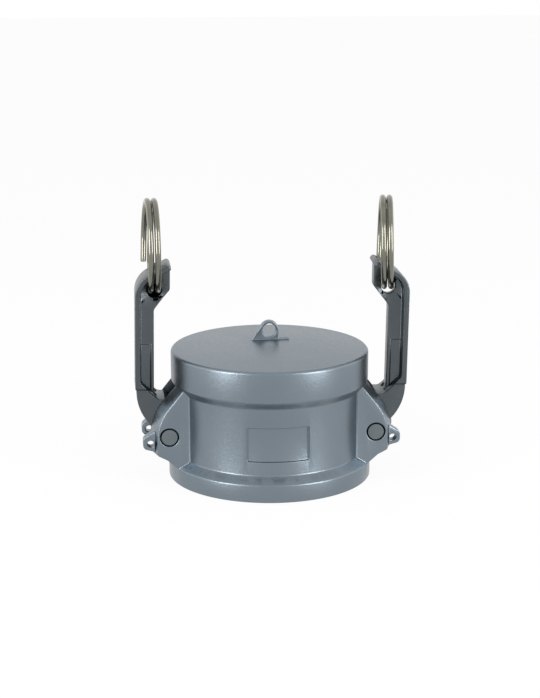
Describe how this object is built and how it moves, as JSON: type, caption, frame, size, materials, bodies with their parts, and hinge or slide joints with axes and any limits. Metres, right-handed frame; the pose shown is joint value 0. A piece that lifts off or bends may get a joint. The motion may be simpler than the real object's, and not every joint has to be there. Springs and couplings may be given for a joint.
{
  "type": "camlock dust cap",
  "caption": "Cast steel dust cap for a hose coupling, with two swinging cam arms, a finger ring on each arm and a chain lug on top.",
  "frame": {"origin": "centre of the open mouth, on the plane of the mouth's rim", "axes": "+Z from the mouth to the closed end, +X to the right-hand arm, the recessed panel on the front at -Y"},
  "size_m": [0.1048, 0.0784, 0.1079],
  "materials": {
    "cast_body": "satin",
    "cast_arm": "satin",
    "pin_steel": "satin",
    "ring_wire": "polished",
    "gasket_rubber": "matt"
  },
  "bodies": {
    "cap": {"cap_body": "cast_body", "gasket": "gasket_rubber", "pivot_pin_left": "pin_steel", "pivot_pin_right": "pin_steel"},
    "right_arm": {"cam_arm_right": "cast_arm"},
    "left_arm": {"cam_arm_left": "cast_arm"},
    "right_ring": {"pull_ring_right": "ring_wire"},
    "left_ring": {"pull_ring_left": "ring_wire"}
  },
  "joints": [
    {"name": "right_arm_swing", "type": "hinge", "parent": "cap", "child": "right_arm", "pos_m": [0.0395, 0, 0.0192], "axis": [0, 1, 0], "range_deg": [-12.8, 99.2]},
    {"name": "right_ring_swing", "type": "hinge", "parent": "right_arm", "child": "right_ring", "pos_m": [0.04556, 0, 0.07303], "axis": [0, 1, 0], "range_deg": [-111, 155]},
    {"name": "left_arm_swing", "type": "hinge", "parent": "cap", "child": "left_arm", "pos_m": [-0.0395, 0, 0.0192], "axis": [0, -1, 0], "range_deg": [-10.9, 101]},
    {"name": "left_ring_swing", "type": "hinge", "parent": "left_arm", "child": "left_ring", "pos_m": [-0.04386, 0, 0.07319], "axis": [0, -1, 0], "range_deg": [-111, 155]}
  ]
}
